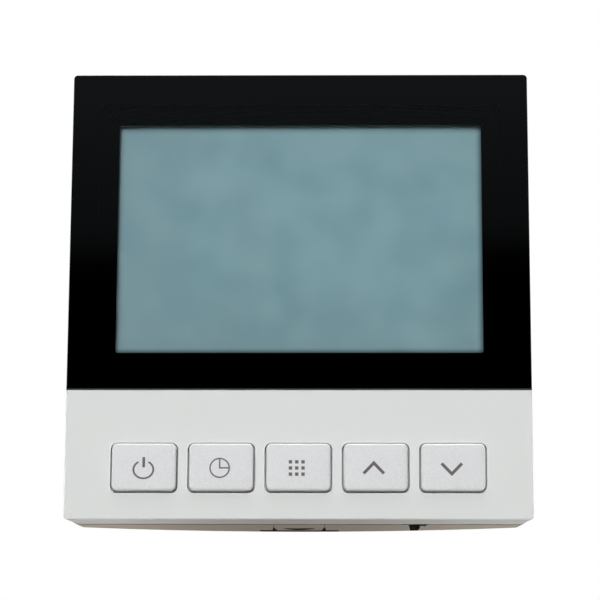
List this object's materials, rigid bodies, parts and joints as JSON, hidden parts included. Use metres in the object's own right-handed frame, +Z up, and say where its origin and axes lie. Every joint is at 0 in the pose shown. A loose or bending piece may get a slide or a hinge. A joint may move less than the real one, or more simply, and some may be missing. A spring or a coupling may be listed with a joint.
{
  "type": "wall thermostat",
  "caption": "Square wall thermostat with a black glossy display window above a white strip of push buttons, on a steel wall frame with a power module.",
  "frame": {"origin": "on the wall plane, midway between the two wall-screw slots of the mounting frame", "axes": "+X to the viewer's right, +Y into the wall, +Z up"},
  "size_m": [0.086, 0.0425, 0.086],
  "materials": {
    "white_shell": "fine satin moulded plastic, off-white",
    "button_white": "satin moulded plastic, off-white",
    "rear_white": "matte moulded plastic, warm off-white",
    "clear_window": "clear polished acrylic",
    "black_print": "opaque black print",
    "black_foam": "closed-cell foam",
    "display_glass": "grey-blue liquid crystal cell, switched off",
    "contact_rubber": "layered conducting rubber",
    "light_guide": "clear diffusing plastic",
    "reflector_film": "white film",
    "lamp": "lamp package with phosphor",
    "holder_plastic": "white moulded plastic",
    "circuit_board": "green solder mask with traces",
    "switch_black": "black moulded plastic",
    "plunger_plastic": "moulded plastic",
    "zinc_steel": "zinc plated",
    "black_epoxy": "moulded epoxy",
    "gold_pin": "gold flash",
    "header_black": "black moulded plastic",
    "frame_steel": "galvanised sheet",
    "housing_plastic": "flame-retardant moulded plastic, off-white",
    "transformer_core": "varnished laminations and yellow tape",
    "relay_case": "blue moulded case",
    "capacitor_sleeve": "shrunk sleeve",
    "varistor_coat": "epoxy-coated disc",
    "fuse_case": "moulded case",
    "terminal_plastic": "green moulded plastic",
    "brass": "plain brass"
  },
  "bodies": {
    "wall_unit": {"mounting_frame": "frame_steel", "frame_screws": "zinc_steel", "power_housing": "housing_plastic", "power_board": "circuit_board", "power_board_screws": "zinc_steel", "transformer": "transformer_core", "relay": "relay_case", "capacitors": "capacitor_sleeve", "varistor": "varistor_coat", "fuse": "fuse_case", "board_socket": "header_black", "terminal_block": "terminal_plastic", "terminal_clamps": "brass", "terminal_screws": "zinc_steel", "terminal_pins": "brass"},
    "front_module": {"front_shell": "white_shell", "display_window": "clear_window", "window_mask": "black_print", "lcd_gasket": "black_foam", "lcd_glass": "display_glass", "lcd_connector": "contact_rubber", "backlight_guide": "light_guide", "reflector": "reflector_film", "backlight_leds": "lamp", "lcd_holder": "holder_plastic", "control_board": "circuit_board", "board_screws": "zinc_steel", "microcontroller": "black_epoxy", "clock_crystal": "zinc_steel", "backup_battery": "zinc_steel", "battery_clip": "zinc_steel", "pin_header": "header_black", "header_pins": "gold_pin", "room_sensor": "black_epoxy", "rear_cover": "rear_white", "cover_screws": "zinc_steel", "power_switch": "switch_black", "clock_switch": "switch_black", "menu_switch": "switch_black", "up_switch": "switch_black", "down_switch": "switch_black"},
    "power_key": {"power_button": "button_white", "power_plunger": "plunger_plastic"},
    "clock_key": {"clock_button": "button_white", "clock_plunger": "plunger_plastic"},
    "menu_key": {"menu_button": "button_white", "menu_plunger": "plunger_plastic"},
    "up_key": {"up_button": "button_white", "up_plunger": "plunger_plastic"},
    "down_key": {"down_button": "button_white", "down_plunger": "plunger_plastic"},
    "release_latch": {"release_tab": "rear_white"}
  },
  "joints": [
    {"name": "module_pull_off", "type": "slide", "parent": "wall_unit", "child": "front_module", "axis": [0, -1, 0], "range_m": [0, 0.02]},
    {"name": "power_press", "type": "slide", "parent": "front_module", "child": "power_key", "axis": [0, 1, 0], "range_m": [0, 0.0004], "stiffness_N_per_m": 2500},
    {"name": "clock_press", "type": "slide", "parent": "front_module", "child": "clock_key", "axis": [0, 1, 0], "range_m": [0, 0.0004], "stiffness_N_per_m": 2500},
    {"name": "menu_press", "type": "slide", "parent": "front_module", "child": "menu_key", "axis": [0, 1, 0], "range_m": [0, 0.0004], "stiffness_N_per_m": 2500},
    {"name": "up_press", "type": "slide", "parent": "front_module", "child": "up_key", "axis": [0, 1, 0], "range_m": [0, 0.0004], "stiffness_N_per_m": 2500},
    {"name": "down_press", "type": "slide", "parent": "front_module", "child": "down_key", "axis": [0, 1, 0], "range_m": [0, 0.0004], "stiffness_N_per_m": 2500},
    {"name": "latch_press", "type": "hinge", "parent": "front_module", "child": "release_latch", "pos_m": [0, -0.0057, -0.04177], "axis": [1, 0, 0], "range_deg": [0, 8], "stiffness_Nm_per_rad": 0.1}
  ]
}
